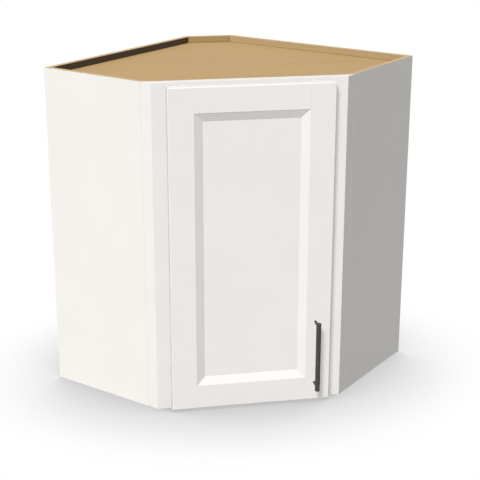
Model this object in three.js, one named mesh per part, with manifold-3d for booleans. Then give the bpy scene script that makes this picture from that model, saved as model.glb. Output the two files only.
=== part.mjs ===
// Diagonal corner wall cabinet with one overlay door, in millimetres, +Z up, door facing -Y.
// The carcass is plywood behind a hardwood face frame, the door is cope-and-stick joinery
// hung on two single-pivot cup hinges, and two loose shelves lie on clips inside.

import * as THREE from 'three';
import { mergeVertices } from 'three/addons/utils/BufferGeometryUtils.js';
import Module from 'manifold-3d';

const wasm = await Module();
wasm.setup();

// ---------------------------------------------------------------- driving dimensions

const CABINET = {
  height: 762,
  wallRun: 609.6, // width along each wall
  sideDepth: 304.8, // wall to the front of the face frame
  cornerCut: 82.55, // each leg of the clipped rear corner
  panel: 12.7, // plywood
  rabbet: 6.35, // how far a back panel enters a side panel
  housing: 4.8, // how deep the top and bottom enter the walls
  topRecess: 15.9, // top panel below the upper edges
  bottomRecess: 25.4, // bottom panel above the lower edges
  glueRelief: 5, // clipped inner corner at the front of each side panel
  jointChamfer: 5, // eased inner corner where a back panel meets the corner panel
};

const FRAME = { thick: 19.05, opening: 304.8, rail: 38.1 };

const SHELF = { thick: 15.9, wallGap: 3, setback: 25.4, noseRadius: 3 };

const PIN_HOLE = { radius: 2.5, depth: 9, firstRow: 152.4, pitch: 50.8, rows: 10 };
const SHELF_ROWS = { lower: 2, upper: 7 };
const SIDE_COLUMNS = [50.8, 228.6]; // distance from the wall, on each side panel
const BACK_COLUMN = 165.1; // distance from the side's outer face, on each back panel

const CLIP = { pinRadius: 2.3, pinLength: 7.5, width: 11, tall: 16, reach: 11, thick: 1.6 };

const DOOR = {
  width: 368.3,
  height: 749.3,
  thick: 22.2,
  gap: 4.3, // back of the door to the face frame
  member: 76.2, // stile and rail width, bevel included
  crestStep: 0.8, // square step at the top of the bevel
  bevelWidth: 19.2,
  bevelDepth: 7.3,
  lip: 0.6, // edge of the bevel over the panel
  panel: 6.35,
  groove: 9.5, // groove depth for panel and stub tenons
  panelPlay: 0.8, // room for the panel to swell
  frontRound: 2.6, // eased outer edge
  backRound: 1.2,
};

const HINGE = {
  fromDoorEnd: 88.9,
  pinFromEdge: 6.5, // pin axis to the door's edge
  pinForward: 10.5, // pin axis in front of the face frame
  pinRadius: 1.25,
  pinHalfLength: 7,
  runningGap: 0.06,
  knuckleRadius: 2.2,
  knuckleHalf: 4.5,
  armHalf: 6,
  armThick: 1.6,
  shoulder: 8.5, // where the arm widens, from the pin
  cupFromPin: 14.5,
  boreRadius: 17.5,
  boreDepth: 11,
  cupRadius: 17.3,
  cupWall: 1,
  cupFloor: 0.8,
  flange: 0.9,
  flangeRadius: 18.3,
  earStart: 4.8,
  screwSpread: 48,
  screwOffset: 6,
  wingHalfWidth: 7,
  plateThick: 1.5,
  plateHalf: 24,
  plateScrew: 17,
  tabHalf: 12,
};

const PULL = {
  x: 148,
  z: 126.4,
  length: 168.4,
  barRadius: 5.6,
  standoff: 31, // axis of the bar in front of the door
  postSpread: 152.4,
  postRadius: 3,
  screwRadius: 1.9,
};

const BUMPER = { radius: 4.8, thick: 3.9, inset: 12 };

const FIT = 0.3; // clearance left at glued and seated joints
const SEAT = 0.1; // clearance under a plate that lies on flat timber
const ROUND = 40; // sides of a large circle
const SMALL = 14; // sides of a screw, pin or hole

// ---------------------------------------------------------------- plan of the room corner

// Each wall of the plan is a line with an outward normal and its reach from the room corner.
const DIAGONAL = Math.SQRT1_2;
const FRONT = {
  normal: [0, -1],
  reach: (CABINET.wallRun + CABINET.sideDepth) * DIAGONAL,
};
const RIGHT_SIDE = { normal: [DIAGONAL, -DIAGONAL], reach: CABINET.wallRun };
const RIGHT_BACK = { normal: [DIAGONAL, DIAGONAL], reach: 0 };
const CORNER_BACK = { normal: [0, 1], reach: -CABINET.cornerCut * DIAGONAL };
const LEFT_BACK = { normal: [-DIAGONAL, DIAGONAL], reach: 0 };
const LEFT_SIDE = { normal: [-DIAGONAL, -DIAGONAL], reach: CABINET.wallRun };
const WALLS = [FRONT, RIGHT_SIDE, RIGHT_BACK, CORNER_BACK, LEFT_BACK, LEFT_SIDE];

const FRONT_Y = -FRONT.reach;
const DOOR_BACK_Y = FRONT_Y - DOOR.gap;
const DOOR_FRONT_Y = DOOR_BACK_Y - DOOR.thick;
const PULL_Y = DOOR_FRONT_Y - PULL.standoff;
const DOOR_BOTTOM = (CABINET.height - DOOR.height) / 2;
const DOOR_TOP = DOOR_BOTTOM + DOOR.height;
const DOOR_HALF = DOOR.width / 2;
const OPENING_HALF = FRAME.opening / 2;
const TOP_FACE = CABINET.height - CABINET.topRecess;
const PIN_X = -DOOR_HALF + HINGE.pinFromEdge;
const PIN_Y = FRONT_Y - HINGE.pinForward;
const HINGE_HEIGHTS = {
  upper: DOOR_TOP - HINGE.fromDoorEnd,
  lower: DOOR_BOTTOM + HINGE.fromDoorEnd,
};

// The point where two walls meet, each moved inward by its own inset.
function meet(wallA, insetA, wallB, insetB) {
  const [ax, ay] = wallA.normal;
  const [bx, by] = wallB.normal;
  const reachA = wallA.reach - insetA;
  const reachB = wallB.reach - insetB;
  const scale = ax * by - ay * bx;
  return [(reachA * by - reachB * ay) / scale, (ax * reachB - bx * reachA) / scale];
}

// The whole plan, moved inward by one inset on the walls and another behind the frame.
function insetPlan(wallInset, frontInset) {
  const insets = WALLS.map((wall) => (wall === FRONT ? frontInset : wallInset));
  return WALLS.map((wall, index) => {
    const next = (index + 1) % WALLS.length;
    return meet(wall, insets[index], WALLS[next], insets[next]);
  });
}

const mirrored = (points) => points.map(([x, y]) => [-x, y]);

// ---------------------------------------------------------------- solids

// A manifold solid from a closed geometry, turned right side out.
function solid(geometry) {
  const shell = geometry.clone();
  shell.deleteAttribute('normal');
  shell.deleteAttribute('uv');
  const merged = mergeVertices(shell, 1e-4);
  const vertProperties = new Float32Array(merged.attributes.position.array);
  const triVerts = new Uint32Array(merged.index.array);
  if (signedVolume(vertProperties, triVerts) < 0) {
    for (let i = 0; i < triVerts.length; i += 3) {
      [triVerts[i + 1], triVerts[i + 2]] = [triVerts[i + 2], triVerts[i + 1]];
    }
  }
  return new wasm.Manifold(new wasm.Mesh({ numProp: 3, vertProperties, triVerts }));
}

function signedVolume(positions, triangles) {
  const corner = (index) => new THREE.Vector3().fromArray(positions, index * 3);
  let volume = 0;
  for (let i = 0; i < triangles.length; i += 3) {
    const [a, b, c] = [0, 1, 2].map((step) => corner(triangles[i + step]));
    volume += a.dot(b.cross(c)) / 6;
  }
  return volume;
}

function geometryOf(manifold) {
  const mesh = manifold.getMesh();
  const geometry = new THREE.BufferGeometry();
  const positions = new THREE.BufferAttribute(new Float32Array(mesh.vertProperties), mesh.numProp);
  geometry.setAttribute('position', positions);
  geometry.setIndex(new THREE.BufferAttribute(new Uint32Array(mesh.triVerts), 1));
  const faceted = geometry.toNonIndexed();
  faceted.computeVertexNormals();
  return faceted;
}

function cutAll(body, cutters) {
  return cutters.reduce((left, cutter) => left.subtract(cutter), body);
}

function joinAll(bodies) {
  return bodies.reduce((whole, body) => whole.add(body));
}

function shapeOf(outline) {
  if (outline instanceof THREE.Shape) return outline;
  return new THREE.Shape(outline.map(([x, y]) => new THREE.Vector2(x, y)));
}

// An outline in plan, raised from one height to another.
function raise(outline, bottom, top, curveSegments = 6) {
  const options = { depth: top - bottom, bevelEnabled: false, curveSegments };
  return solid(new THREE.ExtrudeGeometry(shapeOf(outline), options).translate(0, 0, bottom));
}

// An outline of (y, z) points, run along X.
function runAlongX(outline, left, right, curveSegments = 6) {
  const options = { depth: right - left, bevelEnabled: false, curveSegments };
  const geometry = new THREE.ExtrudeGeometry(shapeOf(outline), options).translate(0, 0, left);
  const axes = [new THREE.Vector3(0, 1, 0), new THREE.Vector3(0, 0, 1), new THREE.Vector3(1, 0, 0)];
  return solid(geometry.applyMatrix4(new THREE.Matrix4().makeBasis(...axes)));
}

// A profile of (radius, along) points, turned about an axis that starts at a point.
function turn(profile, start, direction, sides = SMALL) {
  const points = profile.map(([radius, along]) => new THREE.Vector2(radius, along));
  const geometry = new THREE.LatheGeometry(points, sides);
  const axis = new THREE.Vector3(...direction).normalize();
  const turned = new THREE.Quaternion().setFromUnitVectors(new THREE.Vector3(0, 1, 0), axis);
  geometry.applyQuaternion(turned).translate(...start);
  return solid(geometry);
}

function rod(radius, start, direction, length, sides = SMALL) {
  return turn([[0, 0], [radius, 0], [radius, length], [0, length]], start, direction, sides);
}

function block([x0, x1], [y0, y1], [z0, z1]) {
  return raise([[x0, y0], [x1, y0], [x1, y1], [x0, y1]], z0, z1);
}

// ---------------------------------------------------------------- finishes

const FINISHES = {
  paintedFront: { color: 0xebe7e4, roughness: 0.45, metalness: 0 },
  paintedSide: { color: 0xf0ede6, roughness: 0.5, metalness: 0 },
  plywood: { color: 0xc5a67d, roughness: 0.6, metalness: 0 },
  shelfWood: { color: 0xcfb189, roughness: 0.6, metalness: 0 },
  darkPull: { color: 0x3c3b37, roughness: 0.4, metalness: 0.7 },
  nickel: { color: 0xb9b8b2, roughness: 0.3, metalness: 1 },
  steelScrew: { color: 0x9b9a95, roughness: 0.35, metalness: 1 },
  clearRubber: { color: 0xd9d7cf, roughness: 0.5, metalness: 0 },
};

const cabinet = new THREE.Group();

function addPiece(name, body, finish, group = cabinet) {
  const material = new THREE.MeshStandardMaterial(FINISHES[finish]);
  const mesh = new THREE.Mesh(geometryOf(body), material);
  mesh.name = name;
  group.add(mesh);
}

// ---------------------------------------------------------------- carcass

const CARCASS_FRONT = FRAME.thick + FIT; // inset of everything that butts the frame's back

const topPlan = insetPlan(CABINET.panel - CABINET.housing, CARCASS_FRONT);
const housingPlan = insetPlan(CABINET.panel - CABINET.housing - FIT, CARCASS_FRONT - FIT);

function housings() {
  const boards = [TOP_FACE - CABINET.panel, CABINET.bottomRecess];
  return boards.map((bottom) => {
    return raise(housingPlan, bottom - FIT / 2, bottom + CABINET.panel + FIT / 2);
  });
}

// Side panel: rabbeted for the back, mitred behind the stile.
function sidePlan() {
  const { panel, rabbet, glueRelief } = CABINET;
  const innerFront = meet(FRONT, CARCASS_FRONT, RIGHT_SIDE, panel);
  const [x, y] = innerFront;
  return [
    meet(FRONT, CARCASS_FRONT, RIGHT_SIDE, 0),
    meet(RIGHT_SIDE, 0, RIGHT_BACK, 0),
    meet(RIGHT_BACK, 0, RIGHT_SIDE, rabbet),
    meet(RIGHT_SIDE, rabbet, RIGHT_BACK, panel + FIT),
    meet(RIGHT_BACK, panel + FIT, RIGHT_SIDE, panel),
    [x + glueRelief * DIAGONAL, y + glueRelief * DIAGONAL],
    [x + glueRelief, y],
  ];
}

// Back panel: seated in the side's rabbet, mitred to the corner panel, its inner arris eased.
function backPlan() {
  const { panel, rabbet, jointChamfer } = CABINET;
  const [x, y] = meet(RIGHT_BACK, panel, CORNER_BACK, panel);
  const eased = jointChamfer * DIAGONAL;
  const mitre = Math.tan(Math.PI / 8);
  return [
    meet(RIGHT_SIDE, rabbet + FIT, RIGHT_BACK, 0),
    meet(RIGHT_BACK, 0, CORNER_BACK, 0),
    [x + jointChamfer * mitre * mitre, y + jointChamfer * mitre],
    [x + eased, y - eased],
    meet(RIGHT_BACK, panel, RIGHT_SIDE, rabbet + FIT),
  ];
}

function cornerPlan() {
  const { panel } = CABINET;
  const [outerX, outerY] = meet(RIGHT_BACK, 0, CORNER_BACK, 0);
  const [innerX, innerY] = meet(RIGHT_BACK, panel, CORNER_BACK, panel);
  const right = [[outerX - FIT, outerY], [innerX - FIT, innerY]];
  return [...right, ...mirrored(right).reverse()];
}

// A row of blind shelf-pin holes up a wall, at one place on its inner face.
function pinHoles(wall, [x, y]) {
  const [nx, ny] = wall.normal;
  const lift = 0.5;
  const holes = [];
  for (let row = 0; row < PIN_HOLE.rows; row += 1) {
    const start = [x - nx * lift, y - ny * lift, rowHeight(row)];
    holes.push(rod(PIN_HOLE.radius, start, [nx, ny, 0], PIN_HOLE.depth + lift, 10));
  }
  return holes;
}

const rowHeight = (row) => PIN_HOLE.firstRow + row * PIN_HOLE.pitch;

// Places on the right-hand inner faces where the pin columns stand.
const SIDE_PLACES = SIDE_COLUMNS.map((fromWall) => {
  return meet(RIGHT_SIDE, CABINET.panel, RIGHT_BACK, fromWall);
});
const BACK_PLACE = meet(RIGHT_BACK, CABINET.panel, RIGHT_SIDE, BACK_COLUMN);

function addCarcass() {
  const hands = [
    { name: 'right', flip: (points) => points, side: RIGHT_SIDE, back: RIGHT_BACK },
    { name: 'left', flip: mirrored, side: LEFT_SIDE, back: LEFT_BACK },
  ];
  for (const hand of hands) {
    const sideHoles = hand.flip(SIDE_PLACES).flatMap((place) => pinHoles(hand.side, place));
    const backHoles = hand.flip([BACK_PLACE]).flatMap((place) => pinHoles(hand.back, place));
    const side = raise(hand.flip(sidePlan()), 0, CABINET.height);
    const back = raise(hand.flip(backPlan()), 0, CABINET.height);
    addPiece(`${hand.name}_side_panel`, cutAll(side, [...housings(), ...sideHoles]), 'paintedSide');
    addPiece(`${hand.name}_back_panel`, cutAll(back, [...housings(), ...backHoles]), 'plywood');
  }
  const corner = raise(cornerPlan(), 0, CABINET.height);
  addPiece('corner_back_panel', cutAll(corner, housings()), 'plywood');
  addPiece('top_panel', raise(topPlan, TOP_FACE - CABINET.panel, TOP_FACE), 'plywood');
  const floor = CABINET.bottomRecess;
  addPiece('bottom_panel', raise(topPlan, floor, floor + CABINET.panel), 'plywood');
}

// ---------------------------------------------------------------- face frame

function stilePlan() {
  return [
    [OPENING_HALF, FRONT_Y],
    meet(FRONT, 0, RIGHT_SIDE, 0),
    meet(FRONT, FRAME.thick, RIGHT_SIDE, 0),
    [OPENING_HALF, FRONT_Y + FRAME.thick],
  ];
}

function addFaceFrame() {
  const rightStile = raise(stilePlan(), 0, CABINET.height);
  const leftStile = raise(mirrored(stilePlan()), 0, CABINET.height);
  addPiece('frame_right_stile', rightStile, 'paintedFront');
  addPiece('frame_left_stile', cutAll(leftStile, hingePilots()), 'paintedFront');
  const across = [-OPENING_HALF + FIT / 2, OPENING_HALF - FIT / 2];
  const through = [FRONT_Y, FRONT_Y + FRAME.thick];
  const { height } = CABINET;
  addPiece('frame_top_rail', block(across, through, [height - FRAME.rail, height]), 'paintedFront');
  addPiece('frame_bottom_rail', block(across, through, [0, FRAME.rail]), 'paintedFront');
}

// ---------------------------------------------------------------- shelves and clips

// A shelf fills the plan with room at the walls, and its front edge has a rounded nose.
function shelf(bottom) {
  const front = FRAME.thick + SHELF.setback;
  const plan = insetPlan(CABINET.panel + SHELF.wallGap, front);
  const noseY = FRONT_Y + front;
  const { thick, noseRadius } = SHELF;
  const backY = CORNER_BACK.normal[1] * CORNER_BACK.reach;
  const section = new THREE.Shape();
  section.moveTo(backY, bottom);
  section.lineTo(backY, bottom + thick);
  section.lineTo(noseY + noseRadius, bottom + thick);
  section.absarc(noseY + noseRadius, bottom + thick - noseRadius, noseRadius, Math.PI / 2, Math.PI);
  section.absarc(noseY + noseRadius, bottom + noseRadius, noseRadius, Math.PI, Math.PI * 1.5);
  const nosed = runAlongX(section, -CABINET.wallRun, CABINET.wallRun, 4);
  return raise(plan, bottom, bottom + thick).intersect(nosed);
}

// A clip, with its pin entering the wall along +X: web against the wall, ledge and gusset.
function clip() {
  const { pinRadius, pinLength, width, tall, reach, thick } = CLIP;
  const web = FIT + thick;
  const outline = [
    [FIT, 0],
    [reach, 0],
    [reach, -thick],
    [web + thick, -tall * 0.45],
    [web, -tall],
    [FIT, -tall],
  ];
  const quarterTurn = [0, 0, 90];
  const bracket = runAlongX(outline, -width / 2, width / 2).rotate(quarterTurn);
  const pin = rod(pinRadius, [-web, 0, -tall / 2], [1, 0, 0], web + pinLength, 10);
  return bracket.add(pin);
}

function addClips(shelfName, row) {
  const places = [
    { name: 'right_front', place: SIDE_PLACES[1], turn: -45 },
    { name: 'right_rear', place: SIDE_PLACES[0], turn: -45 },
    { name: 'right_back', place: BACK_PLACE, turn: 45 },
    { name: 'left_back', place: mirrored([BACK_PLACE])[0], turn: 135 },
    { name: 'left_rear', place: mirrored([SIDE_PLACES[0]])[0], turn: 225 },
    { name: 'left_front', place: mirrored([SIDE_PLACES[1]])[0], turn: 225 },
  ];
  for (const { name, place, turn: degrees } of places) {
    const seat = new THREE.Group();
    seat.position.set(place[0], place[1], rowHeight(row) + CLIP.tall / 2);
    seat.rotation.z = THREE.MathUtils.degToRad(degrees);
    addPiece(`${shelfName}_clip_${name}`, clip(), 'nickel', seat);
    cabinet.add(seat);
  }
}

function addShelves() {
  for (const [level, row] of Object.entries(SHELF_ROWS)) {
    const bottom = rowHeight(row) + CLIP.tall / 2 + FIT;
    addPiece(`shelf_${level}`, shelf(bottom), 'shelfWood');
    addClips(`shelf_${level}`, row);
  }
}

// ---------------------------------------------------------------- door joinery

// Depths run from the door's back face to its front.
const BEVEL_TOP = DOOR.thick - DOOR.crestStep;
const BEVEL_FOOT = BEVEL_TOP - DOOR.bevelDepth;
const PANEL_FRONT = BEVEL_FOOT - DOOR.lip;
const PANEL_BACK = PANEL_FRONT - DOOR.panel;
const depthToY = (depth) => DOOR_BACK_Y - depth;

// Section across a stile or rail: points are (distance in from the outer edge, depth).
function memberSection(place) {
  const { member, bevelWidth, thick, groove, frontRound, backRound } = DOOR;
  const section = new THREE.Shape();
  const arc = (across, depth, radius, from, to) => {
    const steps = 4;
    for (let step = 0; step <= steps; step += 1) {
      const angle = from + ((to - from) * step) / steps;
      section.lineTo(...place(across + radius * Math.cos(angle), depth + radius * Math.sin(angle)));
    }
  };
  section.moveTo(...place(member, 0));
  section.lineTo(...place(member, PANEL_BACK - SEAT));
  section.lineTo(...place(member - groove, PANEL_BACK - SEAT));
  section.lineTo(...place(member - groove, PANEL_FRONT + SEAT));
  section.lineTo(...place(member, PANEL_FRONT + SEAT));
  section.lineTo(...place(member, BEVEL_FOOT));
  section.lineTo(...place(member - bevelWidth, BEVEL_TOP));
  section.lineTo(...place(member - bevelWidth, thick));
  arc(frontRound, thick - frontRound, frontRound, Math.PI / 2, Math.PI);
  arc(backRound, backRound, backRound, Math.PI, Math.PI * 1.5);
  return section;
}

// Section of the whole door from edge to edge, with its outer edges eased.
function doorSection(place, span) {
  const { thick, frontRound, backRound } = DOOR;
  const section = new THREE.Shape();
  const corners = [
    [frontRound, thick - frontRound, frontRound, 0.5],
    [backRound, backRound, backRound, 1],
    [span - backRound, backRound, backRound, 1.5],
    [span - frontRound, thick - frontRound, frontRound, 2],
  ];
  const points = corners.flatMap(([across, depth, radius, start]) => {
    return [0, 1, 2, 3, 4].map((step) => {
      const angle = Math.PI * (start + step / 8);
      return place(across + radius * Math.cos(angle), depth + radius * Math.sin(angle));
    });
  });
  section.setFromPoints(points.map(([a, b]) => new THREE.Vector2(a, b)));
  return section;
}

// Plan of a rail, whose ends are coped over the stiles and carry stub tenons.
function railPlan() {
  const { member, bevelWidth, thick, groove } = DOOR;
  const shoulder = DOOR_HALF - member - FIT / 2;
  const crest = DOOR_HALF - member + bevelWidth - FIT / 2;
  const tenon = DOOR_HALF - member + groove - FIT;
  const right = [
    [shoulder, 0],
    [shoulder, PANEL_BACK + SEAT],
    [tenon, PANEL_BACK + SEAT],
    [tenon, PANEL_FRONT - SEAT],
    [shoulder, PANEL_FRONT - SEAT],
    [shoulder, BEVEL_FOOT + 2 * SEAT],
    [crest, BEVEL_TOP + 2 * SEAT],
    [crest, thick + 1],
  ].map(([x, depth]) => [x, depthToY(depth)]);
  return [...right, ...mirrored(right).reverse()];
}

function addDoorStiles() {
  const endSection = doorSection((up, depth) => [depthToY(depth), DOOR_BOTTOM + up], DOOR.height);
  const ends = runAlongX(endSection, -DOOR_HALF - 1, DOOR_HALF + 1);
  const leftSection = memberSection((across, depth) => [-DOOR_HALF + across, depthToY(depth)]);
  const rightSection = memberSection((across, depth) => [DOOR_HALF - across, depthToY(depth)]);
  const left = raise(leftSection, DOOR_BOTTOM, DOOR_TOP).intersect(ends);
  const right = raise(rightSection, DOOR_BOTTOM, DOOR_TOP).intersect(ends);
  addPiece('door_left_stile', cutAll(left, cupBores()), 'paintedFront');
  addPiece('door_right_stile', cutAll(right, pullScrewHoles()), 'paintedFront');
}

function addDoorRails() {
  const plan = railPlan();
  const bottom = memberSection((up, depth) => [depthToY(depth), DOOR_BOTTOM + up]);
  const top = memberSection((down, depth) => [depthToY(depth), DOOR_TOP - down]);
  for (const [name, section] of [['top', top], ['bottom', bottom]]) {
    const coped = raise(plan, DOOR_BOTTOM - 1, DOOR_TOP + 1);
    const rail = runAlongX(section, -DOOR_HALF, DOOR_HALF).intersect(coped);
    addPiece(`door_${name}_rail`, rail, 'paintedFront');
  }
}

function addDoorPanel() {
  const { member, groove, panelPlay } = DOOR;
  const edge = member - groove + panelPlay;
  const half = DOOR_HALF - edge;
  const through = [depthToY(PANEL_FRONT), depthToY(PANEL_BACK)];
  const panel = block([-half, half], through, [DOOR_BOTTOM + edge, DOOR_TOP - edge]);
  addPiece('door_panel', panel, 'paintedFront');
}

// ---------------------------------------------------------------- fasteners

// Profile of a countersunk screw, from the top of its head to its tip, grown by a clearance.
function countersunk({ head, shank, length }, grow) {
  const headDepth = head - shank;
  const rim = 0.2;
  return [
    [0, -grow],
    [head + grow, -grow],
    [head + grow, rim],
    [shank + grow, rim + headDepth + grow],
    [shank + grow, length - shank + grow],
    [0, length + grow],
  ];
}

const CUP_SCREW = { head: 3.2, shank: 1.6, length: 13 };
const PLATE_SCREW = { head: 3.4, shank: 1.7, length: 16 };
const ARM_SCREW = { head: 3.2, shank: 1.6, length: 6 };

const RECESS = { blade: 0.9, reach: 0.62, depth: 1.7 }; // reach is a share of the head's radius

// A cross recess for a driver, cut down from the face of a screw's head.
function crossRecess(headRadius, start, direction) {
  const span = 2 * RECESS.reach * headRadius;
  const axis = new THREE.Vector3(...direction).normalize();
  const turned = new THREE.Quaternion().setFromUnitVectors(new THREE.Vector3(0, 1, 0), axis);
  const blades = [[span, RECESS.blade], [RECESS.blade, span]].map(([x, z]) => {
    const blade = new THREE.BoxGeometry(x, 2 * RECESS.depth, z);
    return solid(blade.applyQuaternion(turned).translate(...start));
  });
  return joinAll(blades);
}

function screw(spec, start, direction) {
  const body = turn(countersunk(spec, 0), start, direction);
  return body.subtract(crossRecess(spec.head, start, direction));
}

function screwHole(spec, start, direction) {
  return turn(countersunk(spec, 0.15), start, direction);
}

// ---------------------------------------------------------------- hinges

// Hinge pieces are drawn about the pin: x into the door's width, y towards the cabinet.
const HINGE_FACE = HINGE.pinForward; // plane of the face frame
const HINGE_DOOR_BACK = HINGE.pinForward - DOOR.gap;
const HINGE_STILE_EDGE = -OPENING_HALF - PIN_X;
const CUP_MOUTH = HINGE_DOOR_BACK + SEAT + HINGE.flange;
const PLATE_TOP = HINGE_STILE_EDGE + SEAT + HINGE.plateThick;
const ARM_OUTER = PLATE_TOP + SEAT + HINGE.armThick;
const PLATE_SCREW_DEPTH = HINGE_FACE + FRAME.thick / 2;
const INTO_DOOR = [0, -1, 0];
const INTO_STILE = [-1, 0, 0];

const cupScrewStarts = [-1, 1].map((end) => [
  HINGE.cupFromPin + HINGE.screwOffset,
  CUP_MOUTH,
  (end * HINGE.screwSpread) / 2,
]);
const plateScrewStarts = [-1, 1].map((end) => [PLATE_TOP, PLATE_SCREW_DEPTH, end * HINGE.plateScrew]);
const armScrewStart = [ARM_OUTER, PLATE_SCREW_DEPTH, 0];

// Steel cup with its flange and screw wings, ears for the pin and a mouth for the arm.
function hingeCup() {
  const { cupFromPin, cupRadius, cupWall, cupFloor, flangeRadius, boreDepth, earStart } = HINGE;
  const floor = HINGE_DOOR_BACK - boreDepth + SEAT * 2;
  const flangeFoot = HINGE_DOOR_BACK + SEAT;
  const inside = cupRadius - cupWall;
  const rim = 0.8;
  const shell = turn([
    [0, floor],
    [cupRadius - rim, floor],
    [cupRadius, floor + rim],
    [cupRadius, flangeFoot],
    [flangeRadius, flangeFoot],
    [flangeRadius, CUP_MOUTH],
    [0, CUP_MOUTH],
  ], [cupFromPin, 0, 0], [0, 1, 0], ROUND);
  const well = rod(inside, [cupFromPin, floor + cupFloor, 0], [0, 1, 0], boreDepth * 2, ROUND);
  const earBlocks = [[earStart, inside], [-inside, -earStart]].map((zRange) => {
    return block([-cupFromPin, 4], [floor + cupFloor / 2, 3.2], zRange);
  });
  const outer = rod(cupRadius, [cupFromPin, floor, 0], [0, 1, 0], boreDepth * 2, ROUND);
  const ears = joinAll(earBlocks).intersect(outer);
  const notch = block([-cupFromPin, 0], [floor + 2 * cupFloor, CUP_MOUTH + 1], [-earStart, earStart]);
  const bore = HINGE.pinRadius + HINGE.runningGap;
  const pinLength = HINGE.pinHalfLength + SEAT;
  const pinBore = rod(bore, [0, 0, -pinLength], [0, 0, 1], 2 * pinLength);
  const holes = cupScrewStarts.map((start) => screwHole(CUP_SCREW, start, INTO_DOOR));
  const cup = shell.add(cupWings(flangeFoot)).subtract(well).add(ears);
  return cutAll(cup, [notch, pinBore, ...holes]);
}

function cupWings(flangeFoot) {
  const { cupFromPin, screwOffset, screwSpread, wingHalfWidth } = HINGE;
  const x = cupFromPin + screwOffset;
  const z = screwSpread / 2;
  const outline = new THREE.Shape();
  outline.absarc(x, z, wingHalfWidth, 0, Math.PI);
  outline.absarc(x, -z, wingHalfWidth, Math.PI, Math.PI * 2);
  const geometry = new THREE.ExtrudeGeometry(outline, {
    depth: CUP_MOUTH - flangeFoot,
    bevelEnabled: false,
    curveSegments: 8,
  });
  geometry.rotateX(Math.PI / 2).translate(0, CUP_MOUTH, 0);
  return solid(geometry);
}

// Cranked arm: a knuckle round the pin, a leaf across the cup, and a foot on the mounting plate.
function armOutline() {
  const { knuckleRadius, armThick } = HINGE;
  const bendInner = 1.6;
  const bendOuter = bendInner + armThick;
  const deep = -knuckleRadius;
  const inner = ARM_OUTER - armThick;
  const footEnd = HINGE_FACE + FRAME.thick - 1.5;
  const outline = new THREE.Shape();
  outline.moveTo(0, deep);
  outline.lineTo(ARM_OUTER - bendOuter, deep);
  outline.absarc(ARM_OUTER - bendOuter, deep + bendOuter, bendOuter, -Math.PI / 2, 0);
  outline.lineTo(ARM_OUTER, footEnd);
  outline.lineTo(inner, footEnd);
  outline.lineTo(inner, deep + bendOuter);
  outline.absarc(inner - bendInner, deep + bendOuter, bendInner, 0, -Math.PI / 2, true);
  outline.lineTo(knuckleRadius, deep + armThick);
  outline.absarc(0, 0, knuckleRadius, Math.asin(-0.6 / knuckleRadius), Math.PI * 1.5);
  return outline;
}

function hingeArm() {
  const { armHalf, knuckleHalf, shoulder, pinRadius, runningGap, knuckleRadius } = HINGE;
  const blank = raise(armOutline(), -armHalf, armHalf, 8);
  const reach = 2 * knuckleRadius;
  const reliefs = [[knuckleHalf, armHalf + 1], [-armHalf - 1, -knuckleHalf]].map((zRange) => {
    return block([-reach, shoulder], [-reach, reach], zRange);
  });
  const bore = rod(pinRadius + runningGap, [0, 0, -armHalf], [0, 0, 1], 2 * armHalf);
  return cutAll(blank, [...reliefs, bore, screwHole(ARM_SCREW, armScrewStart, INTO_STILE)]);
}

// Mounting plate on the stile's inner edge, with guides for the arm and a tab behind the stile.
function hingePlate() {
  const { plateHalf, tabHalf, plateThick, armHalf } = HINGE;
  const foot = HINGE_STILE_EDGE + SEAT;
  const frontEdge = HINGE_FACE + 0.8;
  const backEdge = HINGE_FACE + FRAME.thick - 1;
  const corner = 5;
  const face = new THREE.Shape();
  face.absarc(backEdge - corner, plateHalf - corner, corner, 0, Math.PI / 2);
  face.absarc(frontEdge + corner, plateHalf - corner, corner, Math.PI / 2, Math.PI);
  face.absarc(frontEdge + corner, -plateHalf + corner, corner, Math.PI, Math.PI * 1.5);
  face.absarc(backEdge - corner, -plateHalf + corner, corner, Math.PI * 1.5, Math.PI * 2);
  const plate = runAlongX(face, foot, PLATE_TOP);
  const tabFace = HINGE_FACE + FRAME.thick + FIT;
  const tab = block([foot - 11, PLATE_TOP], [tabFace, tabFace + plateThick], [-tabHalf, tabHalf]);
  const neck = block([foot, PLATE_TOP], [backEdge - 2, tabFace + plateThick], [-tabHalf, tabHalf]);
  const guides = [[armHalf + SEAT * 3, armHalf + 1.6], [-armHalf - 1.6, -armHalf - SEAT * 3]];
  const rails = guides.map((zRange) => {
    return block([foot, ARM_OUTER], [frontEdge + 2, backEdge - 2], zRange);
  });
  const holes = plateScrewStarts.map((start) => screwHole(PLATE_SCREW, start, INTO_STILE));
  holes.push(screwHole(ARM_SCREW, armScrewStart, INTO_STILE));
  return cutAll(joinAll([plate, neck, tab, ...rails]), holes);
}

const hingePlaces = Object.values(HINGE_HEIGHTS).map((height) => [PIN_X, PIN_Y, height]);

// Bores for the cups and pilots for their screws, cut in the door's hinge stile.
function cupBores() {
  const { cupFromPin, boreRadius, boreDepth } = HINGE;
  const lift = 1;
  const start = [cupFromPin, HINGE_DOOR_BACK + lift, 0];
  const bore = rod(boreRadius, start, INTO_DOOR, boreDepth + lift, ROUND);
  const pilots = cupScrewStarts.map((place) => screwHole(CUP_SCREW, place, INTO_DOOR));
  const tools = [bore, ...pilots];
  return hingePlaces.flatMap((place) => tools.map((tool) => tool.translate(place)));
}

// Pilots for the mounting plates, cut in the face frame's hinge stile.
function hingePilots() {
  const pilots = plateScrewStarts.map((start) => screwHole(PLATE_SCREW, start, INTO_STILE));
  pilots.push(screwHole(ARM_SCREW, armScrewStart, INTO_STILE));
  return hingePlaces.flatMap((place) => pilots.map((tool) => tool.translate(place)));
}

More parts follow.
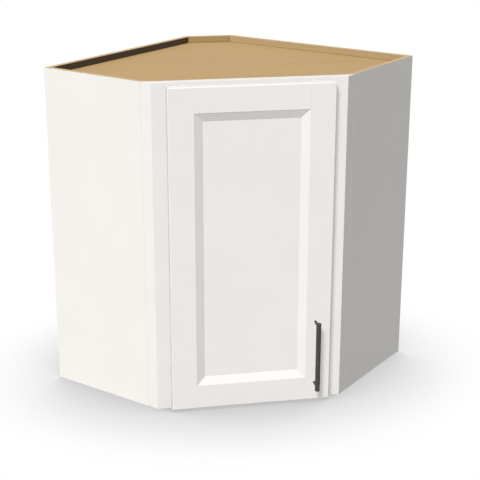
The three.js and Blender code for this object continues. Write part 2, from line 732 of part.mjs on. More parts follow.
function addHinge(level, height) {
  const hinge = new THREE.Group();
  hinge.position.set(PIN_X, PIN_Y, height);
  const { pinRadius, pinHalfLength } = HINGE;
  const pin = rod(pinRadius, [0, 0, -pinHalfLength], [0, 0, 1], 2 * pinHalfLength);
  addPiece(`${level}_hinge_cup`, hingeCup(), 'nickel', hinge);
  addPiece(`${level}_hinge_arm`, hingeArm(), 'nickel', hinge);
  addPiece(`${level}_hinge_plate`, hingePlate(), 'nickel', hinge);
  addPiece(`${level}_hinge_pin`, pin, 'steelScrew', hinge);
  const ends = ['lower', 'upper'];
  cupScrewStarts.forEach((start, end) => {
    const name = `${level}_cup_screw_${ends[end]}`;
    addPiece(name, screw(CUP_SCREW, start, INTO_DOOR), 'steelScrew', hinge);
  });
  plateScrewStarts.forEach((start, end) => {
    const name = `${level}_plate_screw_${ends[end]}`;
    addPiece(name, screw(PLATE_SCREW, start, INTO_STILE), 'steelScrew', hinge);
  });
  const armScrew = screw(ARM_SCREW, armScrewStart, INTO_STILE);
  addPiece(`${level}_arm_screw`, armScrew, 'steelScrew', hinge);
  cabinet.add(hinge);
}

// ---------------------------------------------------------------- pull and bumpers

const pullEnds = { upper: PULL.z + PULL.postSpread / 2, lower: PULL.z - PULL.postSpread / 2 };
const SCREW_HEAD = { radius: 3.9, thick: 2.2 };
const THREAD_DEPTH = 9; // how far the screw enters the post

function pullScrewHoles() {
  const start = DOOR_BACK_Y + 1;
  return Object.values(pullEnds).map((height) => {
    return rod(PULL.screwRadius + 0.3, [PULL.x, start, height], INTO_DOOR, DOOR.thick + 2);
  });
}

function pullBar(grow) {
  const { length, barRadius } = PULL;
  const half = length / 2 + grow;
  const radius = barRadius + grow;
  const ease = 1;
  return turn([
    [0, -half],
    [radius - ease, -half],
    [radius - ease * 0.3, -half + ease * 0.3],
    [radius, -half + ease],
    [radius, half - ease],
    [radius - ease * 0.3, half - ease * 0.3],
    [radius - ease, half],
    [0, half],
  ], [PULL.x, PULL_Y, PULL.z], [0, 0, 1], 28);
}

// A post stands on the door, and its far end is coped to the round bar.
function pullPost(height) {
  const { x, standoff, postRadius, screwRadius } = PULL;
  const foot = [x, DOOR_FRONT_Y - SEAT, height];
  const post = rod(postRadius, foot, INTO_DOOR, standoff, 20);
  const thread = rod(screwRadius + SEAT, [x, DOOR_FRONT_Y + 1, height], INTO_DOOR, THREAD_DEPTH + 2);
  return cutAll(post, [pullBar(FIT / 2), thread]);
}

function pullScrew(height) {
  const head = SCREW_HEAD;
  const reach = DOOR.thick + THREAD_DEPTH;
  const start = [PULL.x, DOOR_BACK_Y + SEAT + head.thick, height];
  const body = turn([
    [0, 0],
    [head.radius * 0.7, 0],
    [head.radius, head.thick * 0.5],
    [head.radius, head.thick],
    [PULL.screwRadius, head.thick],
    [PULL.screwRadius, reach],
    [0, reach],
  ], start, INTO_DOOR);
  return body.subtract(crossRecess(head.radius, start, INTO_DOOR));
}

function addPull() {
  addPiece('pull_bar', pullBar(0), 'darkPull');
  for (const [level, height] of Object.entries(pullEnds)) {
    addPiece(`pull_post_${level}`, pullPost(height), 'darkPull');
    addPiece(`pull_screw_${level}`, pullScrew(height), 'steelScrew');
  }
}

// Soft pads on the back of the door's free corners, which meet the frame when it shuts.
function addBumpers() {
  const { radius, thick, inset } = BUMPER;
  const heights = { upper: DOOR_TOP - inset, lower: DOOR_BOTTOM + inset };
  for (const [level, height] of Object.entries(heights)) {
    const pad = turn([
      [0, SEAT],
      [radius, SEAT],
      [radius, thick * 0.55],
      [radius * 0.7, thick],
      [0, thick],
    ], [DOOR_HALF - inset, DOOR_BACK_Y, height], [0, 1, 0], 18);
    addPiece(`door_bumper_${level}`, pad, 'clearRubber');
  }
}

// ---------------------------------------------------------------- assembly

addCarcass();
addFaceFrame();
addShelves();
addDoorStiles();
addDoorRails();
addDoorPanel();
for (const [level, height] of Object.entries(HINGE_HEIGHTS)) {
  addHinge(level, height);
}
addPull();
addBumpers();

// The origin is under the middle of the whole box, from the corner panel to the pull.
const rearY = CORNER_BACK.reach;
const foremostY = PULL_Y - PULL.barRadius;
cabinet.position.y = -(rearY + foremostY) / 2;

export default cabinet;
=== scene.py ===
"""Diagonal corner wall cabinet: materials, softened edges, light and camera around the frame."""

import math

import bpy
from mathutils import Matrix, Vector


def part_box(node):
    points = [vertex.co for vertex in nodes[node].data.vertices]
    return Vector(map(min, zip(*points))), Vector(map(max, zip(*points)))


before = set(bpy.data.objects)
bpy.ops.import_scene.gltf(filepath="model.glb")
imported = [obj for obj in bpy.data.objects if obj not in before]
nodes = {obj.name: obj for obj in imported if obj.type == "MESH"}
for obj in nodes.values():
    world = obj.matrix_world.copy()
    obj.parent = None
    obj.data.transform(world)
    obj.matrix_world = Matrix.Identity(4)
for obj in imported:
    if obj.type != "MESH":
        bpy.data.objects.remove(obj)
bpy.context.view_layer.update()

DIAGONAL = math.sqrt(0.5)
RIGHTWARDS = (1, 0, 0)
REARWARDS = (0, 1, 0)
FRONTWARDS = (0, -1, 0)
UP = (0, 0, 1)


# ------------------------------------------------------------------ shader building

MIX_A, MIX_B, MIX_RESULT = 6, 7, 2  # the colour sockets of a Mix node
MOST_NOISE = (0.3, 0.7)  # the range that holds nearly all of a noise texture's values
CORE_NOISE = (0.35, 0.65)
NOISE_MIDDLE = 0.5


class Finish:
    """A node material that is built up around one Principled shader."""

    def __init__(self, name, **sockets):
        self.material = bpy.data.materials.new(name)
        self.material.use_nodes = True
        self.tree = self.material.node_tree
        self.shader = self.tree.nodes["Principled BSDF"]
        self.connect(**sockets)
        place = self.tree.nodes.new("ShaderNodeTexCoord")
        self.place = place.outputs["Object"]
        self.normal = place.outputs["Normal"]

    def connect(self, **sockets):
        """Sets or links the shader's sockets, and gives the material."""
        for name, value in sockets.items():
            self.plug(self.shader.inputs[name.replace("_", " ")], value)
        return self.material

    def plug(self, socket, value):
        if isinstance(value, bpy.types.NodeSocket):
            self.tree.links.new(value, socket)
        else:
            socket.default_value = value

    def node(self, kind, plugs, **settings):
        """A node with its settings, and plugs = {input: value or socket}."""
        node = self.tree.nodes.new("ShaderNode" + kind)
        for name, value in settings.items():
            setattr(node, name, value)
        for socket, value in plugs.items():
            self.plug(node.inputs[socket], value)
        return node

    def math(self, operation, *values):
        return self.node("Math", dict(enumerate(values)), operation=operation).outputs[0]

    def vector(self, operation, a, b, output="Vector"):
        return self.node("VectorMath", {0: a, 1: b}, operation=operation).outputs[output]

    def dot(self, vector, axis):
        return self.vector("DOT_PRODUCT", vector, axis, "Value")

    def axes(self, u, v, w):
        """Object coordinates along three axes of its own."""
        parts = [self.dot(self.place, axis) for axis in (u, v, w)]
        return self.node("CombineXYZ", dict(enumerate(parts))).outputs[0]

    def noise(self, coords, scale, detail, roughness=0.5, distortion=0.0):
        plugs = {
            "Vector": coords,
            "Scale": scale,
            "Detail": detail,
            "Roughness": roughness,
            "Distortion": distortion,
        }
        return self.node("TexNoise", plugs).outputs[0]

    def grain(self, coords, scales, **settings):
        """Noise with a scale for each axis."""
        return self.noise(self.vector("MULTIPLY", coords, scales), 1.0, **settings)

    def span(self, value, low, high, to_low=0.0, to_high=1.0):
        """Maps low..high to to_low..to_high, clamped."""
        plugs = {0: value, 1: low, 2: high, 3: to_low, 4: to_high}
        return self.node("MapRange", plugs, clamp=True).outputs[0]

    def mix(self, factor, a, b, blend="MIX"):
        plugs = {0: factor, MIX_A: a, MIX_B: b}
        node = self.node("Mix", plugs, data_type="RGBA", blend_type=blend)
        return node.outputs[MIX_RESULT]

    def bump(self, height, distance, strength=1.0):
        plugs = {"Height": height, "Distance": distance, "Strength": strength}
        return self.node("Bump", plugs).outputs[0]

    def facing(self, axis, cosines, either_way=False):
        """One on faces that look along an axis, nought on those that look elsewhere."""
        cosine = self.dot(self.normal, axis)
        if either_way:
            cosine = self.math("ABSOLUTE", cosine)
        return self.span(cosine, *cosines)


def opaque(red, green, blue):
    return (red, green, blue, 1.0)


def rgb(red, green, blue):
    """A colour given as it is seen, 0 to 255, in linear light."""
    def linear(value):
        value /= 255
        return value / 12.92 if value <= 0.04045 else ((value + 0.055) / 1.055) ** 2.4
    return opaque(linear(red), linear(green), linear(blue))


# ------------------------------------------------------------------ paint

PAINT_FRONT = opaque(0.80, 0.772, 0.745)
PAINT_SIDE = opaque(0.796, 0.771, 0.726)
# Painted shade on the front end of a side panel, where it shows in the seam at the frame.
PAINT_SEAM_SHADE = opaque(0.66, 0.64, 0.60)  # the end of a side panel, seen in the seam at the frame
PAINT_DULLER = opaque(0.982, 0.982, 0.982)  # multiplies the tone where the coat clouds over
PAINT_CLOUDS = {"scale": 9.0, "detail": 3.0}
PAINT_STREAKS = {"scales": (14, 420, 420), "detail": 3.0, "roughness": 0.6}
PAINT_STIPPLE = {"scale": 900.0, "detail": 2.0}
PAINT_STREAK_HEIGHT = 0.3  # as a share of the stipple's
PAINT_ROUGHNESS = (0.46, 0.52)
PAINT_BUMP = 0.00001
RETURN_COSINES = (0.5, 0.62)  # where the front's tone gives way to the sides' tone

# Axes along the grain, across it and out of the face.
GRAIN_UPRIGHT = (UP, RIGHTWARDS, REARWARDS)
GRAIN_LEVEL = (RIGHTWARDS, UP, REARWARDS)


def paint_layer(finish, tone, grain):
    """Satin paint over wood: colour, roughness and bump sockets."""
    coords = finish.axes(*grain)
    clouds = finish.noise(finish.place, **PAINT_CLOUDS)
    duller = finish.mix(1.0, tone, PAINT_DULLER, "MULTIPLY")
    colour = finish.mix(finish.span(clouds, *CORE_NOISE), duller, tone)
    streaks = finish.grain(coords, **PAINT_STREAKS)
    stipple = finish.noise(coords, **PAINT_STIPPLE)
    height = finish.math("MULTIPLY_ADD", streaks, PAINT_STREAK_HEIGHT, stipple)
    return colour, finish.span(stipple, *MOST_NOISE, *PAINT_ROUGHNESS), height


def painted(name, grain):
    """Painted face frame and door; the returns along the side panels share their tone."""
    finish = Finish(name)
    sideways = finish.facing(RIGHTWARDS, RETURN_COSINES, either_way=True)
    tone = finish.mix(sideways, PAINT_FRONT, PAINT_SIDE)
    colour, roughness, height = paint_layer(finish, tone, grain)
    bump = finish.bump(height, PAINT_BUMP)
    return finish.connect(Base_Color=colour, Roughness=roughness, Normal=bump)


# ------------------------------------------------------------------ birch plywood

TOP_BIRCH = rgb(178, 147, 99)
BACK_BIRCH = rgb(160, 137, 98)
CORNER_BIRCH = rgb(153, 129, 87)
BIRCH_STEPS = (0.86, 1.0, 1.10)  # dark, middle and light figure, as shares of the tone
CALM_STEPS = (0.93, 1.0, 1.05)
FLECK_TONE = rgb(112, 76, 44)
# Painted shade: dark brown for the left back panel's inner face above the top panel.
LEFT_BACK_SHADE_TONES = (rgb(43, 32, 17), rgb(70, 54, 33))
# Painted shade, used inside pin holes and bores and in the crease above the top panel.
PAINTED_SHADE_TONE = rgb(58, 42, 24)

# The veneer's layers, with scales along the grain, across it and out of the face.
FIGURE = {"scales": (1.3, 9, 9), "detail": 4.0, "roughness": 0.55, "distortion": 0.6}
STREAKS = {"scales": (5, 160, 160), "detail": 3.0, "roughness": 0.6}
FIBRES = {"scales": (18, 640, 640), "detail": 3.0, "roughness": 0.7}
PORES = {"scales": (70, 1900, 1900), "detail": 2.0, "roughness": 0.7}
STREAK_WEIGHT, FIBRE_WEIGHT, PORE_WEIGHT = 0.45, 0.50, 0.45
DARK_FIGURE, MIDDLE_FIGURE, LIGHT_FIGURE = 0.22, 0.50, 0.78
STREAK_HEIGHT = 0.4  # as a share of the pores'
VENEER_ROUGHNESS = (0.78, 0.68)  # in the pores, and between them
WOOD_BUMP = 0.00008

FLECK_SCALES = (9, 42, 42)
FLECK_OUTLINE = {"scale": 60.0, "detail": 2.0}
FLECK_UNEVENNESS = 0.14
FLECK_CORE, FLECK_RIM = 0.09, 0.20  # distances from a fleck's middle
FLECK_STRENGTH = 0.62
FLECK_CHANCES = (0.55, 1.0)  # a cell whose random value is below the first has no fleck

PANEL = 0.0127  # thickness of the plywood
PLY = PANEL / 9
PLY_WOBBLE = 0.0006
PLY_NOISE = {"scale": 60.0, "detail": 3.0}
PLY_FIBRES = {"scales": (700, 700, 90), "detail": 3.0, "roughness": 0.6}
PLY_CHANGE = (0.44, 0.56)  # where one ply gives way to the next
ALONG_TONES = (rgb(206, 177, 134), rgb(228, 202, 160))
ACROSS_TONES = (rgb(160, 128, 86), rgb(188, 157, 113))
GLUE_TONE = rgb(112, 74, 44)
HALF_PLY = 0.5
GLUE_WIDTH = 0.10  # as a share of a ply
GLUE_STRENGTH = 0.55
PLY_HEIGHT = 1.5  # beside the veneer's

# Painted shade: a thin dark line in the crease where the top panel meets a back panel.
CREASE_SHADE_WIDTH = 0.0022
CREASE_SHADE_STRENGTH = 0.55
# Painted shade on the left back panel's inner face above the top panel.
LEFT_BACK_SHADE_GRAIN = {"scales": (40, 40, 600), "detail": 3.0}
LEFT_BACK_SHADE_RAMP = 0.0004
COAT_HEIGHT = 0.2  # beside the bare wood's

# Cosines from which, and up to which, a face comes to count as looking along an axis.
EDGE_COSINES = (0.6, 0.75)
INNER_COSINES = (0.5, 0.6)
COAT_COSINES = (0.6, 0.69)
SEAM_SHADE_COSINES = (0.85, 0.95)

# Painted shade inside pin holes and small bores, found by occlusion.
BORE_SHADE_REACH = 0.006
BORE_SHADE_OPENNESS = (0.15, 0.42)
BORE_SHADE_SAMPLES = 8


def veneer_layer(finish, grain, birch, sheet, steps):
    """Rotary-cut veneer: broad soft figure, long streaks, fine pores and a few flecks."""
    dark, middle, light = (opaque(*(channel * step for channel in birch[:3])) for step in steps)
    coords = finish.vector("ADD", finish.axes(*grain), (sheet, sheet, 0))
    tone = finish.grain(coords, **FIGURE)
    streaks = finish.grain(coords, **STREAKS)
    fibres = finish.grain(coords, **FIBRES)
    pores = finish.grain(coords, **PORES)
    layers = ((streaks, STREAK_WEIGHT), (fibres, FIBRE_WEIGHT), (pores, PORE_WEIGHT))
    for layer, weight in layers:
        offset = finish.math("SUBTRACT", layer, NOISE_MIDDLE)
        tone = finish.math("MULTIPLY_ADD", offset, weight, tone)
    colour = finish.mix(finish.span(tone, DARK_FIGURE, MIDDLE_FIGURE), dark, middle)
    colour = finish.mix(finish.span(tone, MIDDLE_FIGURE, LIGHT_FIGURE), colour, light)
    colour = finish.mix(flecks(finish, coords), colour, FLECK_TONE)
    height = finish.math("MULTIPLY_ADD", streaks, STREAK_HEIGHT, pores)
    return colour, finish.span(pores, *MOST_NOISE, *VENEER_ROUGHNESS), height


def flecks(finish, coords):
    """Strength of small dark flecks with uneven outlines, in some cells only."""
    outline = finish.noise(coords, **FLECK_OUTLINE)
    plugs = {"Vector": finish.vector("MULTIPLY", coords, FLECK_SCALES), "Scale": 1.0}
    cells = finish.node("TexVoronoi", plugs).outputs
    chance = finish.node("SeparateColor", {"Color": cells["Color"]}).outputs["Red"]
    reach = finish.math("MULTIPLY_ADD", outline, FLECK_UNEVENNESS, cells["Distance"])
    strength = finish.span(reach, FLECK_CORE, FLECK_RIM, FLECK_STRENGTH, 0.0)
    return finish.math("MULTIPLY", strength, finish.span(chance, *FLECK_CHANCES))


def ply_layer(finish, across, inner):
    """Ply edge: layers that run with and across the cut, parted by thin glue lines."""
    depth = finish.math("SUBTRACT", finish.dot(finish.place, across), inner)
    wobble = finish.math("SUBTRACT", finish.noise(finish.place, **PLY_NOISE), NOISE_MIDDLE)
    depth = finish.math("MULTIPLY_ADD", wobble, PLY_WOBBLE, depth)
    layer = finish.math("DIVIDE", depth, PLY)
    across_cut = finish.span(finish.math("PINGPONG", layer, 1.0), *PLY_CHANGE)
    fibre = finish.grain(finish.place, **PLY_FIBRES)
    colour = finish.mix(across_cut, finish.mix(fibre, *ALONG_TONES),
                        finish.mix(fibre, *ACROSS_TONES))
    from_glue = finish.math("PINGPONG", finish.math("ADD", layer, HALF_PLY), HALF_PLY)
    glue = finish.span(from_glue, 0.0, GLUE_WIDTH, GLUE_STRENGTH, 0.0)
    return finish.mix(glue, colour, GLUE_TONE), fibre


def inner_layer(finish, colour, across, seat, shade_above):
    """A back panel's inner face: painted shade as a thin dark line where the top panel meets it,
    then, where asked, painted shade in dark brown above it.
    """
    level = finish.dot(finish.place, UP)
    inside = finish.facing(tuple(-value for value in across), INNER_COSINES)
    distance = finish.math("ABSOLUTE", finish.math("SUBTRACT", level, seat))
    # Painted shade: a thin dark line in the crease where the top panel meets the inner face.
    line = finish.span(distance, CREASE_SHADE_WIDTH, 0.0, 0.0, CREASE_SHADE_STRENGTH)
    colour = finish.mix(finish.math("MULTIPLY", line, inside), colour, PAINTED_SHADE_TONE)
    # Painted shade: dark brown on the inner face above the top panel.
    if shade_above:
        above = finish.span(level, seat, seat + LEFT_BACK_SHADE_RAMP)
        tone = finish.mix(finish.grain(finish.place, **LEFT_BACK_SHADE_GRAIN), *LEFT_BACK_SHADE_TONES)
        colour = finish.mix(finish.math("MULTIPLY", above, inside), colour, tone)
    return colour


def bore_shade_free(finish):
    """One on open faces, nought inside pin holes and other small bores, where painted shade
    darkens the colour.
    """
    shade = finish.node("AmbientOcclusion", {"Distance": BORE_SHADE_REACH},
                        samples=BORE_SHADE_SAMPLES, only_local=True)
    return finish.span(shade.outputs["AO"], *BORE_SHADE_OPENNESS)


def plywood(name, grain, sheet=0.0, birch=BACK_BIRCH, steps=BIRCH_STEPS, across=None, inner=0.0,
            seat=None, shade_above=False, coated=False):
    """Plywood with veneer faces and, where it shows an edge, its plies.

    grain: axes along the veneer's grain, across it and out of the panel
    sheet: where on the veneer the panel was cut from, so that no two look alike
    steps: how strong the figure is
    across: out of the panel's outer face, for a panel that shows its plies
    inner: where the inner face lies along that axis
    seat: height of the top panel's upper face, for a panel that stands behind it
    umber: whether the inner face is painted dark brown above that height, as painted shade
    coated: whether the outer face is painted
    """
    finish = Finish(name)
    colour, roughness, height = veneer_layer(finish, grain, birch, sheet, steps)
    if seat is not None:
        colour = inner_layer(finish, colour, across, seat, shade_above)
    if across is not None:
        on_edge = finish.facing(UP, EDGE_COSINES, either_way=True)
        edge_colour, fibre = ply_layer(finish, across, inner)
        colour = finish.mix(on_edge, colour, edge_colour)
        ridges = finish.math("MULTIPLY", on_edge, fibre)
        height = finish.math("MULTIPLY_ADD", ridges, PLY_HEIGHT, height)
    if coated:
        outside = finish.facing(across, COAT_COSINES)
        # Painted shade on the panel's front end, where it shows in the seam at the frame.
        tone = finish.mix(finish.facing(FRONTWARDS, SEAM_SHADE_COSINES), PAINT_SIDE, PAINT_SEAM_SHADE)
        coat, coat_roughness, coat_height = paint_layer(finish, tone, grain)
        colour = finish.mix(outside, colour, coat)
        change = finish.math("SUBTRACT", coat_roughness, roughness)
        roughness = finish.math("MULTIPLY_ADD", outside, change, roughness)
        bare = finish.math("SUBTRACT", 1.0, outside)
        coat_height = finish.math("MULTIPLY", coat_height, COAT_HEIGHT)
        height = finish.math("MULTIPLY_ADD", bare, height, coat_height)
    # Painted shade: the colour darkens inside pin holes and small bores.
    colour = finish.mix(bore_shade_free(finish), PAINTED_SHADE_TONE, colour)
    bump = finish.bump(height, WOOD_BUMP)
    return finish.connect(Base_Color=colour, Roughness=roughness, Normal=bump)


# ------------------------------------------------------------------ metal and rubber

NICKEL = {"colour": opaque(0.56, 0.55, 0.52), "roughness": 0.30, "brushing": (90, 90, 1400)}
ZINC = {"colour": opaque(0.50, 0.49, 0.47), "roughness": 0.34, "brushing": (600, 600, 600)}
METAL_BRUSHING = {"detail": 4.0, "roughness": 0.65}
METAL_SMUDGES = {"scale": 70.0, "detail": 3.0}
METAL_DULLER = 0.82
METAL_SMOOTHER, METAL_ROUGHER = 0.8, 1.25
METAL_BUMP = {"distance": 0.00001, "strength": 0.6}

SATIN_TONES = (opaque(0.052, 0.052, 0.047), opaque(0.066, 0.066, 0.060))
SATIN_RUB = {"scales": (60, 60, 16), "detail": 3.0}
SATIN_RUBBED = (0.35, 0.7)
SATIN_ROUGHNESS = (0.55, 0.48)
SATIN_SAND = {"scale": 2600.0, "detail": 2.0}
SATIN_BUMP = 0.00002

PAD_TONES = (opaque(0.70, 0.69, 0.64), opaque(0.84, 0.83, 0.79))
PAD_HAZE = {"scale": 400.0, "detail": 3.0}
PAD_ROUGHNESS = (0.45, 0.6)
PAD_BUMP = 0.00003


def metal(name, colour, roughness, brushing):
    """Bright metal with fine brushing, whose scales are given, and faint smudges."""
    finish = Finish(name, Metallic=1.0)
    brush = finish.grain(finish.place, brushing, **METAL_BRUSHING)
    smudge = finish.noise(finish.place, **METAL_SMUDGES)
    duller = opaque(*(channel * METAL_DULLER for channel in colour[:3]))
    tone = finish.mix(finish.span(smudge, *CORE_NOISE), duller, colour)
    rough = finish.span(brush, *MOST_NOISE, roughness * METAL_SMOOTHER, roughness * METAL_ROUGHER)
    bump = finish.bump(brush, **METAL_BUMP)
    return finish.connect(Base_Color=tone, Roughness=rough, Normal=bump)


def dark_satin(name):
    """Powder-fine dark bronze coat, a little paler where hands rub it."""
    finish = Finish(name, Specular_IOR_Level=0.15)
    sand = finish.noise(finish.place, **SATIN_SAND)
    rub = finish.grain(finish.place, **SATIN_RUB)
    colour = finish.mix(finish.span(rub, *SATIN_RUBBED), *SATIN_TONES)
    rough = finish.span(rub, *MOST_NOISE, *SATIN_ROUGHNESS)
    bump = finish.bump(sand, SATIN_BUMP)
    return finish.connect(Base_Color=colour, Roughness=rough, Normal=bump)


def soft_pad(name):
    """Clear soft plastic with a slight haze."""
    finish = Finish(name, Transmission_Weight=0.35, IOR=1.42)
    haze = finish.noise(finish.place, **PAD_HAZE)
    colour = finish.mix(finish.span(haze, *MOST_NOISE), *PAD_TONES)
    rough = finish.span(haze, *MOST_NOISE, *PAD_ROUGHNESS)
    bump = finish.bump(haze, PAD_BUMP)
    return finish.connect(Base_Color=colour, Roughness=rough, Normal=bump)


# ------------------------------------------------------------------ dressing the solids

WELD_REACH = 0.00002
FLAT_ANGLE = math.radians(0.4)  # facets that differ by less than this become one face
SHARP_ANGLE = math.radians(32)  # edges that are sharper than this are softened

# Widths of the softened edges.
SIDE_EDGE = 0.00012
BACK_EDGE = 0.0004
LEVEL_EDGE = 0.0003
SHELF_EDGE = 0.0004
FRAME_EDGE = 0.0003
DOOR_EDGE = 0.0005
SCREW_EDGE = 0.00015
PLATED_EDGE = 0.0002
PULL_EDGE = 0.0002
PAD_EDGE = 0.0003
ROUNDER = 3  # segments across the edges that show most

# Where on the veneer each panel is cut from.
SIDE_SHEET = 0.3
BACK_SHEET = 1.7
CORNER_SHEET = 4.1
BOTTOM_SHEET = 7.3
SHELF_SHEET = 11.0

DOOR_WOOD = (
    "door_left_stile",
    "door_right_stile",
    "door_top_rail",
    "door_bottom_rail",
    "door_panel",
)
LEVEL_PANEL = (RIGHTWARDS, REARWARDS, UP)


def dress(piece, material, edge, segments=2):
    """Gives a CAD solid its material, and softens its edges by modifiers alone."""
    for spot in piece.material_slots:
        spot.material = material
    weld = piece.modifiers.new("weld", "WELD")
    weld.merge_threshold = WELD_REACH
    flat = piece.modifiers.new("flat", "DECIMATE")
    flat.decimate_type = "DISSOLVE"
    flat.angle_limit = FLAT_ANGLE
    bevel = piece.modifiers.new("edge", "BEVEL")
    bevel.width = edge
    bevel.segments = segments
    bevel.limit_method = "ANGLE"
    bevel.angle_limit = SHARP_ANGLE
    bevel.harden_normals = True
    bevel.miter_outer = "MITER_ARC"
    normals = piece.modifiers.new("normals", "WEIGHTED_NORMAL")
    normals.keep_sharp = False


def dress_case():
    """Side, back, top and bottom panels, and the shelves."""
    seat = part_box("top_panel")[1][2]
    for hand, side in (("right", 1), ("left", -1)):
        wallwards = (side * DIAGONAL, DIAGONAL, 0)  # out of the back panel's outer face
        outwards = (side * DIAGONAL, -DIAGONAL, 0)  # out of the side panel's painted face
        low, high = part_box(f"{hand}_side_panel")
        far_corner = Vector((high.x if side > 0 else low.x, high.y, 0))
        side_ply = plywood(
            f"ply_{hand}_side", (UP, wallwards, outwards), SIDE_SHEET * side, across=outwards,
            inner=far_corner.dot(Vector(outwards)) - PANEL, coated=True)
        dress(nodes[f"{hand}_side_panel"], side_ply, SIDE_EDGE)
        # The left back panel's inner face gets painted shade above the top panel.
        back_ply = plywood(
            f"ply_{hand}_back", (outwards, UP, wallwards), BACK_SHEET * side, across=wallwards,
            inner=far_corner.dot(Vector(wallwards)) - PANEL, seat=seat, shade_above=hand == "left")
        dress(nodes[f"{hand}_back_panel"], back_ply, BACK_EDGE)

    corner_ply = plywood(
        "ply_corner", (RIGHTWARDS, UP, REARWARDS), CORNER_SHEET, CORNER_BIRCH, across=REARWARDS,
        inner=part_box("corner_back_panel")[1][1] - PANEL, seat=seat)
    dress(nodes["corner_back_panel"], corner_ply, BACK_EDGE)
    top_ply = plywood("ply_top", LEVEL_PANEL, birch=TOP_BIRCH, steps=CALM_STEPS)
    dress(nodes["top_panel"], top_ply, LEVEL_EDGE)
    bottom_ply = plywood("ply_bottom", LEVEL_PANEL, BOTTOM_SHEET)
    dress(nodes["bottom_panel"], bottom_ply, LEVEL_EDGE)
    for index, name in enumerate(("shelf_lower", "shelf_upper")):
        board = plywood(f"board_{name}", LEVEL_PANEL, SHELF_SHEET + index)
        dress(nodes[name], board, SHELF_EDGE)


def dress_front():
    """Face frame and door."""
    upright = painted("paint_upright", GRAIN_UPRIGHT)
    level = painted("paint_level", GRAIN_LEVEL)
    for part, edge in (("frame", FRAME_EDGE), ("door", DOOR_EDGE)):
        for name in ("left_stile", "right_stile"):
            dress(nodes[f"{part}_{name}"], upright, edge, ROUNDER)
        for name in ("top_rail", "bottom_rail"):
            dress(nodes[f"{part}_{name}"], level, edge, ROUNDER)
    dress(nodes["door_panel"], upright, DOOR_EDGE)


def dress_fittings():
    """Hinges, clips, screws, pull and bumpers."""
    nickel = metal("nickel_plate", **NICKEL)
    steel = metal("zinc_screw", **ZINC)
    bronze = dark_satin("dark_satin_pull")
    pad = soft_pad("soft_pad")
    for name, piece in nodes.items():
        if "screw" in name or name.endswith("hinge_pin"):
            dress(piece, steel, SCREW_EDGE)
        elif "hinge" in name or "_clip_" in name:
            dress(piece, nickel, PLATED_EDGE)
        elif name.startswith("pull_"):
            dress(piece, bronze, PULL_EDGE)
        elif "bumper" in name:
            dress(piece, pad, PAD_EDGE)


def calm_front():
    """Keeps the white of the front pieces and the pull from glowing on what is beside them."""
    for name, piece in nodes.items():
        if name.startswith(("frame_", "pull_")) or name in DOOR_WOOD:
            piece.visible_diffuse = False


# ------------------------------------------------------------------ floor, light and camera

WHITE = opaque(1, 1, 1)
AMBIENT = opaque(0.248, 0.255, 0.268)
FLOOR_HALF = 30.0
FLOOR_BOUNCE = opaque(0.27, 0.27, 0.27)
SHADOW_REACH = 0.30
SHADOW_OPENNESS = (0.38, 0.97)
SHADOW_TONES = (0.53, 1.0)
SHADOW_SAMPLES = 24

# Directions from the object towards each lamp. The key casts the shadows. The open key casts
# none, so that they stay pale, and neither does the fill, which comes from behind.
KEY_DIRECTION = Vector((-0.31, -0.64, 0.69))
KEY_STRENGTH = 2.2
OPEN_DIRECTION = Vector((-0.53, -0.61, 0.61))
OPEN_STRENGTH = 1.60
FILL_DIRECTION = Vector((0.06, 0.95, 0.06))
FILL_STRENGTH = 2.2
LAMP_ANGLE = math.radians(14)

CAMERA_PLACE = (-0.4754, -2.7307, 1.2629)
CAMERA_AZIMUTH = math.radians(-10.384)
CAMERA_ELEVATION = math.radians(18.953)
CAMERA_ROLL = math.radians(0.075)
CAMERA_SENSOR = 36.0
FOCAL_PIXELS = 1189.7
PICTURE_PIXELS = 480.0
CAMERA_LENS = CAMERA_SENSOR * FOCAL_PIXELS / PICTURE_PIXELS
CAMERA_REACH = 200.0


def seen_directly(tree):
    """One for camera, glossy and transmission rays."""
    path = tree.nodes.new("ShaderNodeLightPath")
    total = path.outputs["Is Camera Ray"]
    for name in ("Is Glossy Ray", "Is Transmission Ray"):
        node = tree.nodes.new("ShaderNodeMath")
        node.operation = "MAXIMUM"
        tree.links.new(total, node.inputs[0])
        tree.links.new(path.outputs[name], node.inputs[1])
        total = node.outputs[0]
    return total


def add_world():
    """A white surround that lights the object with a softer, slightly cool ambient."""
    world = bpy.data.worlds.new("studio")
    bpy.context.scene.world = world
    world.use_nodes = True
    tree = world.node_tree
    colour = tree.nodes.new("ShaderNodeMix")
    colour.data_type = "RGBA"
    colour.inputs[MIX_A].default_value = AMBIENT
    colour.inputs[MIX_B].default_value = WHITE
    tree.links.new(seen_directly(tree), colour.inputs[0])
    tree.links.new(colour.outputs[MIX_RESULT], tree.nodes["Background"].inputs["Color"])


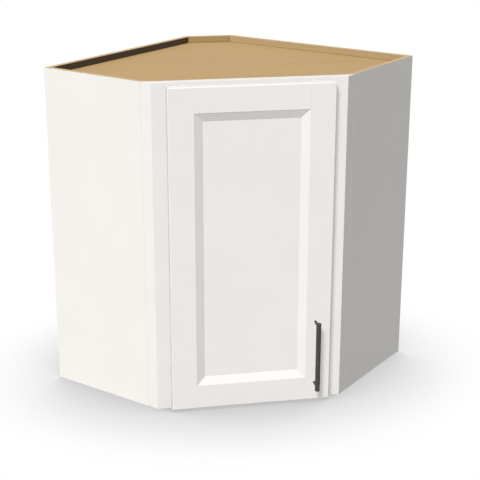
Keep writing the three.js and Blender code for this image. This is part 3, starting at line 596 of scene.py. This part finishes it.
def add_floor():
    """A pale floor that stays white around the object and keeps a soft shadow at its base."""
    mesh = bpy.data.meshes.new("floor")
    half = FLOOR_HALF
    corners = [(-half, -half, 0), (half, -half, 0), (half, half, 0), (-half, half, 0)]
    mesh.from_pydata(corners, [], [(0, 1, 2, 3)])
    floor = bpy.data.objects.new("floor", mesh)
    bpy.context.scene.collection.objects.link(floor)
    finish = Finish("pale_floor", Base_Color=FLOOR_BOUNCE, Roughness=1.0, Specular_IOR_Level=0.0)
    shade = finish.node("AmbientOcclusion", {"Distance": SHADOW_REACH}, samples=SHADOW_SAMPLES)
    tone = finish.span(shade.outputs["AO"], *SHADOW_OPENNESS, *SHADOW_TONES)
    glow = finish.node("Emission", {"Color": tone, "Strength": 1.0})
    plugs = {0: seen_directly(finish.tree), 1: finish.shader.outputs[0], 2: glow.outputs[0]}
    blend = finish.node("MixShader", plugs)
    finish.plug(finish.tree.nodes["Material Output"].inputs["Surface"], blend.outputs[0])
    mesh.materials.append(finish.material)


def add_sun(name, direction, strength, casts=True, gloss=True):
    light = bpy.data.lights.new(name, "SUN")
    light.energy = strength
    light.angle = LAMP_ANGLE
    light.use_shadow = casts
    lamp = bpy.data.objects.new(name, light)
    lamp.visible_glossy = gloss
    lamp.rotation_mode = "QUATERNION"
    lamp.rotation_quaternion = direction.to_track_quat("Z", "Y")
    bpy.context.scene.collection.objects.link(lamp)


def add_camera():
    data = bpy.data.cameras.new("camera")
    data.sensor_width = CAMERA_SENSOR
    data.lens = CAMERA_LENS
    data.clip_end = CAMERA_REACH
    camera = bpy.data.objects.new("camera", data)
    level = math.cos(CAMERA_ELEVATION)
    back = Vector((
        math.sin(CAMERA_AZIMUTH) * level,
        -math.cos(CAMERA_AZIMUTH) * level,
        math.sin(CAMERA_ELEVATION),
    ))
    right = (-back).cross(Vector(UP)).normalized()
    up = right.cross(-back)
    turned_right = right * math.cos(CAMERA_ROLL) + up * math.sin(CAMERA_ROLL)
    turned_up = up * math.cos(CAMERA_ROLL) - right * math.sin(CAMERA_ROLL)
    rotation = Matrix((turned_right, turned_up, back)).transposed().to_4x4()
    camera.matrix_world = Matrix.Translation(CAMERA_PLACE) @ rotation
    bpy.context.scene.collection.objects.link(camera)
    bpy.context.scene.camera = camera


dress_case()
dress_front()
dress_fittings()
calm_front()
add_world()
add_floor()
add_sun("key", KEY_DIRECTION, KEY_STRENGTH)
add_sun("key_open", OPEN_DIRECTION, OPEN_STRENGTH, casts=False)
add_sun("fill", FILL_DIRECTION, FILL_STRENGTH, casts=False, gloss=False)
add_camera()
bpy.context.scene.view_settings.view_transform = "Standard"
